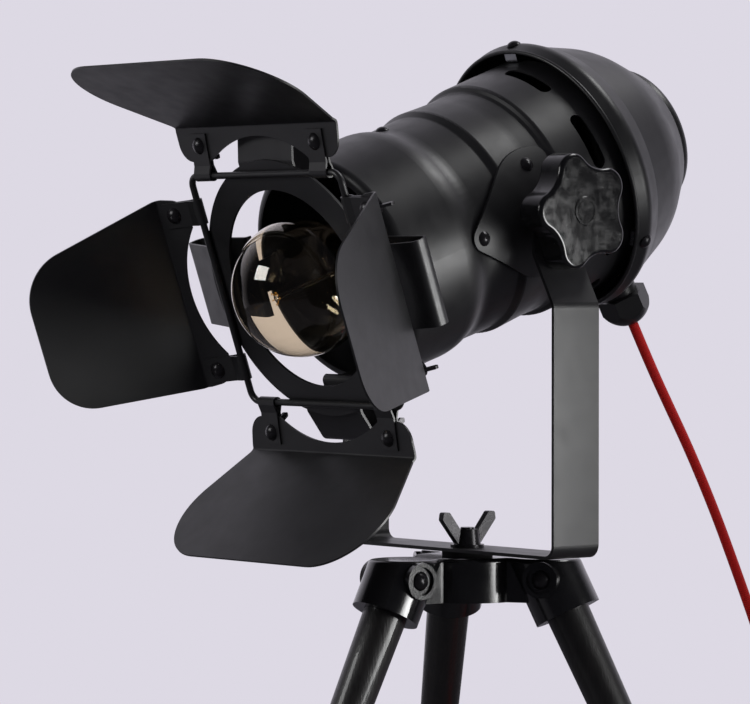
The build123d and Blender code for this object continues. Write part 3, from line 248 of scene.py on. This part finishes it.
# A material for each slot of the record.
materials = {
    # Satin powder paint on bent sheet: near black, a soft even sheen with a very fine peel.
    "satin_black_paint": coated("satinPowderPaint", "#121213", rough=0.4, grain=0.0005, bump=0.08),
    # Thick gloss paint on cast iron: pooled and wavy, with sharp small highlights.
    "gloss_black_casting": coated("glossCasting", "#0C0C0D", rough=0.22, grain=0.0014, bump=0.14, coat=0.5),
    "black_stained_ash": makeAsh(),
    # Moulded rubber: matt and slightly grey.
    "black_rubber": coated("mouldedRubber", "#161616", rough=0.75, grain=0.0005, bump=0.4),
    # Oiled black oxide on small steel parts: dark, with a metal's sharper glints.
    "black_oxide_steel": coated("blackOxideSteel", "#1F1E20", rough=0.27, grain=0.0004, bump=0.15,
                                metallic=0.6),
    # Zinc plate: pale grey metal.
    "zinc_steel": coated("zincPlate", "#B9BABD", rough=0.28, grain=0.0006, bump=0.2, metallic=1.0),
    # Pressed fibre: matt and dark.
    "fibre_washer": coated("pressedFibre", "#161616", rough=0.8, grain=0.0004, bump=0.4),
    "gloss_black_phenolic": makeKnobMaterial(),
    # Turned brass: warm and bright.
    "brass": coated("turnedBrass", "#C29A52", rough=0.3, grain=0.0005, bump=0.2, metallic=1.0),
    # Moulded nylon: satin, a little softer than the paint.
    "black_nylon": coated("mouldedNylon", "#131314", rough=0.36, grain=0.0005, bump=0.2),
    "red_textile": makeTextile(),
    # Extruded insulation on the inner leads: brown and smooth.
    "lead_insulation": coated("leadInsulation", "#5A3A22", rough=0.45, grain=0.0005, bump=0.2),
    "smoked_glass": makeGlass("blownGlass", bulb["tint"], bulb["waver"]),
    "clear_glass": makeGlass("stemGlass", bulb["stem"], bulb["stemWaver"]),
    "filament_wire": makeWire("filamentWire", bulb["wire"], bulb["paintedGlow"]),
}
hookGlintMaterial = makeWire("paintedGlintWire", bulb["hook"], bulb["hookPaintedGlint"])
print("materials made")


def dress(obj, slotName):
    obj.data.materials.clear()
    obj.data.materials.append(materials[slotName])


# Smooth shading, with crisp edges where the faces turn by more than an angle.
def smoothByAngle(mesh, angle):
    mesh.shade_smooth()
    mesh.set_sharp_from_angle(angle=radians(angle))


# In degrees: an edge that turns by more than crease stays crisp, or by more than ownCrease on the scene's own
# pieces; on the frame's pieces one that turns by more than sharp can be rounded.
edges = {"crease": 32, "ownCrease": 40, "sharp": 50}


# A small round on crisp edges, so that they catch the light.
def edgeRound(obj, width):
    bevel = obj.modifiers.new("edgeRound", "BEVEL")
    bevel.width = width
    bevel.segments = 2
    bevel.limit_method = "ANGLE"
    bevel.angle_limit = radians(edges["sharp"])
    bevel.harden_normals = True


edgeWidths = {
    "satin_black_paint": 0.00025,
    "gloss_black_casting": 0.0006,
    "black_oxide_steel": 0.0002,
    "black_nylon": 0.0003,
}
plainEdges = {"can", "rear_cap", "wire_frame", "cap_brackets"}  # these aren't rounded
for entry in frame["record"]["subparts"]:
    name, slotName = entry["node"], entry["material_slot"]
    dress(nodes[name], slotName)
    smoothByAngle(nodes[name].data, edges["crease"])
    if slotName in edgeWidths and name not in plainEdges:
        edgeRound(nodes[name], edgeWidths[slotName])
print("frame dressed")


# A smooth mesh object that rides on a body; with no body it is left free for blend.
def newObject(name, vertices, faces, slotName, body, uvs=None):
    mesh = bpy.data.meshes.new(name)
    mesh.from_pydata([tuple(v) for v in vertices], [], faces)
    if uvs:
        layer = mesh.uv_layers.new(name="UVMap")
        layer.data.foreach_set("uv", [c for uv in uvs for c in uv])
    mesh.validate()
    mesh.update()
    made = bpy.data.objects.new(name, mesh)
    bpy.context.collection.objects.link(made)
    dress(made, slotName)
    smoothByAngle(mesh, edges["ownCrease"])
    if body:
        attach(made, body)
    return made


# A closed profile of (radius, height) pairs turned about the head's axis.
def lathe(name, profile, slotName, body, steps):
    vertices, faces = [], []
    count = len(profile)
    for i in range(steps):
        angle = 2 * pi * i / steps
        for radius, height in profile:
            vertices.append(headPlace @ Vector((radius * cos(angle), radius * sin(angle), height)))
    for i in range(steps):
        for j in range(count):
            a, b = i * count + j, i * count + (j + 1) % count
            c, d = (i + 1) % steps * count + (j + 1) % count, (i + 1) % steps * count + j
            faces.append((a, b, c, d))
    return newObject(name, vertices, faces, slotName, body)


# A round tube along a list of points, with the distance along it in its UV map.
def tube(name, path, radius, slotName, body, sides=16):
    vertices, faces, uvs = [], [], []
    ways = [(path[min(i + 1, len(path) - 1)] - path[max(i - 1, 0)]).normalized() for i in range(len(path))]
    side = ways[0].orthogonal().normalized()
    distance = 0.0
    distances = []
    for i, point in enumerate(path):
        side = (side - ways[i] * side.dot(ways[i])).normalized()
        other = ways[i].cross(side)
        distance += (point - path[i - 1]).length if i else 0.0
        distances.append(distance)
        for j in range(sides):
            angle = 2 * pi * j / sides
            vertices.append(point + radius * (cos(angle) * side + sin(angle) * other))
    for i in range(len(path) - 1):
        for j in range(sides):
            k = (j + 1) % sides
            faces.append((i * sides + j, i * sides + k, (i + 1) * sides + k, (i + 1) * sides + j))
            u0, u1 = j / sides, (j + 1) / sides
            uvs += [(u0, distances[i]), (u1, distances[i]), (u1, distances[i + 1]), (u0, distances[i + 1])]
    last = (len(path) - 1) * sides
    faces += [tuple(range(sides))[::-1], tuple(range(last, last + sides))]
    uvs += [(j / sides, 0) for j in range(sides)] + [(j / sides, distance) for j in range(sides)]
    return newObject(name, vertices, faces, slotName, body, uvs)


# Points along the smooth NURBS line that has these control points.
def splinePoints(points):
    line = bpy.data.curves.new("route", "CURVE")
    line.dimensions = "3D"
    spline = line.splines.new("NURBS")
    spline.points.add(len(points) - 1)
    for slotPoint, point in zip(spline.points, points):
        slotPoint.co = (*point, 1)
    spline.order_u = 3
    spline.use_endpoint_u = True
    spline.resolution_u = 10
    holder = bpy.data.objects.new("route", line)
    bpy.context.collection.objects.link(holder)
    mesh = bpy.data.meshes.new_from_object(holder)
    found = [v.co.copy() for v in mesh.vertices]
    bpy.data.objects.remove(holder)
    bpy.data.meshes.remove(mesh)
    bpy.data.curves.remove(line)
    return found


camera = {"place": (1.8049, -1.4824, 0.3959), "back": (0.7781, -0.6278, 0.0210), "lens": 192.0, "sensor": 36,
          "nearest": 0.05}
back = Vector(camera["back"]).normalized()
right = Vector((0, 0, 1)).cross(back).normalized()
top = back.cross(right)
eye = bpy.data.objects.new("camera", bpy.data.cameras.new("camera"))
bpy.context.collection.objects.link(eye)
eye.data.lens = camera["lens"]
eye.data.sensor_width = camera["sensor"]
eye.data.clip_start = camera["nearest"]
eye.matrix_world = Matrix.Translation(camera["place"]) @ Matrix((right, top, back)).transposed().to_4x4()
bpy.context.scene.camera = eye
print("camera set")

# The cord is cut in two pieces where it first comes below joinHeight.
cordShape = {"radius": 0.0031, "joinHeight": 0.2043}
cordRadius = cordShape["radius"]
# The cord's route, in millimetres, from the gland's nut to the coil and on to the plug.
dropPoints = [
    (0, 176.29, 362.44), (0, 190.53, 337.06), (0, 207, 310.4), (0, 224, 283.5), (0, 245.8, 244.6),
    (0, 265.7, 204.3), (1, 283.9, 164), (3, 297.9, 123), (6, 307.9, 81), (10, 316.9, 42), (17, 331.9, 14),
    (32, 354.9, 3.1), (58, 372.9, 3.1), (90, 370.9, 3.1), (117, 350.9, 3.1), (130, 319.9, 3.1),
    (130.4, 285.9, 5.2), (127.05, 259.4, 9),
]
linkPoints = [(116.95, 202.4, 9), (113.4, 188.9, 6.2), (108.6, 174.4, 3.3), (101.6, 161.6, 3.5)]
endPoints = [
    (20.4, 169.4, 9.6), (17.5, 187.9, 8.2), (9, 206.9, 4.6), (-8, 223.4, 3.1), (-26.5, 233.1, 4.0),
    (-45, 237.9, 6.9),
]
# The coil, in millimetres. The last low turn climbs and widens over its last climbPoints points. A top turn
# rides up a little at its first point, and a whole one at its last point too.
coil = {"x": 58.0, "y": 148.9, "radii": [40.2, 34.0, 27.8], "topRadii": [30.9, 37.1], "perTurn": 16,
        "low": 3.9, "rise": 5.37, "widen": 0.3, "climbPoints": 3, "climbShare": 4.2, "ride": 0.7}


# Four turns and a half, clockwise from above: three on the floor, outside in, then the rest on top of them.
def coilPoints():
    per = coil["perTurn"]
    outward = 1 / cos(pi / per)  # the spline runs inside its control points by this share
    lowTurns = len(coil["radii"])
    turns = coil["radii"] + coil["topRadii"]
    found = []
    for turn, radius in enumerate(turns):
        onTop = turn >= lowTurns
        steps = per // 2 + 1 if turn == len(turns) - 1 else per - 1
        for step in range(steps):
            angle = -2 * pi * (step + 0.5) / per
            height = coil["low"] + (coil["rise"] if onTop else 0)
            if onTop and step in (0, per - 2):
                height += coil["ride"]
            climb = step - (per - 2 - coil["climbPoints"])
            if turn == lowTurns - 1 and climb > 0:
                radius += coil["widen"] * climb
                height += coil["rise"] * climb / coil["climbShare"]
            r = radius * outward
            found.append((coil["x"] + r * cos(angle), coil["y"] + r * sin(angle), height))
    return found


route = [Vector(p) * mm for p in dropPoints + linkPoints + coilPoints() + endPoints]
line = splinePoints(route)
joinAt = next(i for i, p in enumerate(line) if p.z < cordShape["joinHeight"])
upperLine, lowerLine = line[:joinAt + 1], line[joinAt:]


def lengthOf(path):
    return sum((b - a).length for a, b in zip(path, path[1:]))


# The upper piece runs over the tilt joint and the lower one over the swivel joint; neither rides on a body.
cordUpper = tube("cordUpper", upperLine, cordRadius, "red_textile", None)
cordLower = tube("cordLower", lowerLine, cordRadius, "red_textile", None)
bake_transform(cordUpper)
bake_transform(cordLower)
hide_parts("cord_drop", "cord_link", "cord_end", "cord_coil")
print("cord", round(lengthOf(line), 3), "m")


# Points of a circle in the (radius, height) plane, angles from the outward axis, in degrees.
def arc(centre, radius, start, end, steps):
    angles = [radians(start + (end - start) * i / steps) for i in range(steps + 1)]
    return [(max(radius * cos(a), 0.0), centre + radius * sin(a)) for a in angles]


# The globe's ball, the angle in degrees where its neck begins, the neck's radii and their heights on the head's
# axis, and its wall.
globeShape = {"centre": 0.132, "radius": 0.040, "ballEnd": -46, "neckTopRadius": 0.0165, "neckTop": 0.088,
              "neckEndRadius": 0.0127, "neckEnd": 0.0735, "collar": 0.001, "collarTop": 0.0815,
              "collarEnd": 0.0785, "flare": 2.2, "wall": 0.0008}


# Outside or inside line of the globe, from its front pole down to the neck's end.
def globeProfile(inset):
    shape = globeShape
    ball = arc(shape["centre"], shape["radius"] - inset, 90, shape["ballEnd"], 40)
    neckEnd, neckTop = shape["neckEndRadius"] - inset, shape["neckTopRadius"] - inset
    startR, startZ = ball[-1]
    neck = []
    for i in range(1, 13):
        share = i / 12
        smooth = share * share * (3 - 2 * share)
        flare = startR + (neckTop - startR) * (1 - (1 - share) ** shape["flare"])
        neck.append((flare, startZ + (shape["neckTop"] - startZ) * share * (0.6 + 0.4 * smooth)))
    collar = (neckEnd + shape["collar"], shape["collarTop"])
    return ball + neck + [collar, (neckEnd, shape["collarEnd"]), (neckEnd, shape["neckEnd"])]


outside = globeProfile(0.0)
inside = globeProfile(globeShape["wall"])
globe = lathe("bulbGlobe", outside + inside[::-1], "smoked_glass", "head", steps=128)
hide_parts("bulb_glass")


# Points given on the head's own axes, as places in the scene.
def headPath(points):
    return [headPlace @ Vector(p) for p in points]


# Squirrel-cage filament: a hair-thin wire up and down round the glass stem; gold loops with a painted glint
# hold it at the stem's tip and plain dark arms at its foot.
cage = {"legs": 10, "front": 0.1505, "rear": 0.113, "frontRing": 0.0042, "rearRing": 0.0085, "gap": 0.93,
        "bend": 0.06, "wire": 0.00006, "loop": 0.00022, "arm": 0.00009}


# Where the wire turns at the end of a leg: its bearing, its radius and its height on the head's axis.
def legEnd(i):
    atFront = i % 2 == 0
    angle = 2 * pi * i * cage["gap"] / cage["legs"]
    return angle, cage["frontRing" if atFront else "rearRing"], cage["front" if atFront else "rear"]


# A hook leaves the stem, reaches out to the wire and curls back over it.
def makeHook(i):
    angle, reach, height = legEnd(i)
    atFront = i % 2 == 0
    bow = [
        (0.0012, -0.0016), (reach * 0.55, -0.0004), (reach, 0.0002), (reach * 0.9, 0.0012),
        (reach * 0.7, 0.0009),
    ]
    path = splinePoints(headPath([(r * cos(angle), r * sin(angle), height + lift) for r, lift in bow]))
    made = tube(f"filamentHook{i}", path, cage["loop" if atFront else "arm"], "filament_wire", "head", sides=6)
    if atFront:
        # The front loops take the glowing gold wire, which is a painted glint.
        made.data.materials[0] = hookGlintMaterial


def makeFilament():
    points = []
    for i in range(cage["legs"] + 1):
        for turn in (-cage["bend"], cage["bend"]) if 0 < i < cage["legs"] else (0,):
            angle, radius, height = legEnd(i)
            points.append((radius * cos(angle + turn), radius * sin(angle + turn), height))
    made = tube("filamentCage", splinePoints(headPath(points)), cage["wire"], "filament_wire", "head", sides=6)
    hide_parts("bulb_filament")
    for i in range(cage["legs"]):
        makeHook(i)


makeFilament()
# The glass stem, as radius and height on the head's axis: a flared foot, a thin rod and a small button.
stemProfile = [
    (0.0, 0.074), (0.0112, 0.0745), (0.0108, 0.080), (0.0070, 0.086), (0.0034, 0.094), (0.0016, 0.104),
    (0.0013, 0.138), (0.0012, 0.145), (0.0018, 0.149), (0.0014, 0.1514), (0.0, 0.152),
]
stem = lathe("bulbStem", stemProfile, "clear_glass", "head", steps=48)
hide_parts("bulb_stem")
print("bulb done")

# Seamless pale paper under the lamp; it keeps the lamp's shadow, and casts little light back up at it.
floorLook = {"colour": "#DAD6DF", "mottle": "#D6D2DB", "cast": "#48474C", "rough": 0.6, "cloud": 0.4,
             "radius": 1.15, "height": -0.0002, "steps": 128}


def makeFloor():
    angles = [2 * pi * i / floorLook["steps"] for i in range(floorLook["steps"])]
    radius, height = floorLook["radius"], floorLook["height"]
    ring = [(radius * cos(angle), radius * sin(angle), height) for angle in angles]
    mesh = bpy.data.meshes.new("floor")
    mesh.from_pydata(ring, [], [tuple(range(len(ring)))])
    made = bpy.data.objects.new("floor", mesh)
    bpy.context.collection.objects.link(made)
    finish, tree, shader = newMaterial("seamlessPaper")
    shader.inputs["Roughness"].default_value = floorLook["rough"]
    place = addNode(tree, "TexCoord", {}, "Object")
    clouds = addNode(tree, "TexNoise", {"Vector": place, "Scale": 1 / floorLook["cloud"]})
    tone = addNode(tree, "Mix", {0: clouds, 6: linear(floorLook["colour"]), 7: linear(floorLook["mottle"])}, 2,
                   data_type="RGBA")
    shown = addNode(tree, "Mix", {0: seenStraight(tree), 6: linear(floorLook["cast"]), 7: tone}, 2,
                    data_type="RGBA")
    wire(shader, {"Base Color": shown})
    mesh.materials.append(finish)


# Softboxes: where each stands and points, its size and power, and how wide its grid lets it shine, in degrees.
lampMiddle = (0.0, 0.0, 0.42)
softboxes = {
    # Low and to the camera's right of the lamp.
    "sideSoftbox": {"place": (0.727, 0.282, 0.286), "target": (-0.0505, -0.346, 0.30), "size": (0.34, 0.3),
                    "watts": 0.85, "spread": 60},
    # High above, to the camera's right and a little beyond the lamp.
    "overheadSoftbox": {"place": (0.26, 0.66, 1.41), "target": lampMiddle, "size": (0.5, 0.35),
                        "watts": 4.5, "spread": 180},
    # In front of the lens end, to the camera's left and above the lamp.
    "windowLight": {"place": (-0.48, -1.41, 0.88), "target": lampMiddle, "size": (0.6, 0.5),
                    "watts": 8.0, "spread": 180},
}


def makeSoftbox(name, box):
    data = bpy.data.lights.new(name, "AREA")
    data.shape = "RECTANGLE"
    data.size, data.size_y = box["size"]
    data.energy = box["watts"]
    data.spread = radians(box["spread"])
    made = bpy.data.objects.new(name, data)
    bpy.context.collection.objects.link(made)
    made.location = box["place"]
    made.rotation_euler = (Vector(box["place"]) - Vector(box["target"])).to_track_quat("Z", "Y").to_euler()
    made.visible_camera = False


# A pale backdrop behind the lamp, which glossy rays find there, and a dim room on the other side, which keeps
# black paint black. What is seen straight or through glass is the backdrop's colour on every side, and so is
# what diffuse rays find.
studio = {"wall": "#DDD9E4", "room": "#2C2C31", "backdrop": (-0.78, 0.63, 0.0), "edge": (0.15, 0.7)}


# 1 for a camera ray, also one that has passed through glass; 0 once it has bounced off a surface.
def seenStraight(tree):
    bounces = addNode(tree, "Math", {0: addNode(tree, "LightPath", {}, "Glossy Depth"),
                                     1: addNode(tree, "LightPath", {}, "Diffuse Depth")})
    camera, glass = (addNode(tree, "LightPath", {}, ray) for ray in ("Is Camera Ray", "Is Transmission Ray"))
    either = addNode(tree, "Math", {0: camera, 1: glass}, operation="MAXIMUM")
    return addNode(tree, "Math", {0: either, 1: bounces}, operation="SUBTRACT", use_clamp=True)


def makeWorld():
    world = bpy.data.worlds.new("studio")
    world.use_nodes = True
    tree = world.node_tree
    tree.nodes.clear()
    way = addNode(tree, "TexCoord", {}, "Generated")
    towards = addNode(tree, "VectorMath", {0: way, 1: studio["backdrop"]}, "Value", operation="DOT_PRODUCT")
    low, high = studio["edge"]
    backdrop = addNode(tree, "MapRange", {"Value": towards, "From Min": low, "From Max": high})
    diffuse = addNode(tree, "LightPath", {}, "Is Diffuse Ray")
    plainFill = addNode(tree, "Math", {0: seenStraight(tree), 1: diffuse}, operation="MAXIMUM")
    share = addNode(tree, "Math", {0: backdrop, 1: plainFill}, operation="MAXIMUM")
    tone = addNode(tree, "Mix", {0: share, 6: linear(studio["room"]), 7: linear(studio["wall"])}, 2,
                   data_type="RGBA")
    sky = addNode(tree, "Background", {"Color": tone})
    wire(tree.nodes.new("ShaderNodeOutputWorld"), {"Surface": sky})
    bpy.context.scene.world = world


makeFloor()
makeWorld()
for name, box in softboxes.items():
    makeSoftbox(name, box)
bpy.context.scene.view_settings.view_transform = "Standard"
print("studio done")
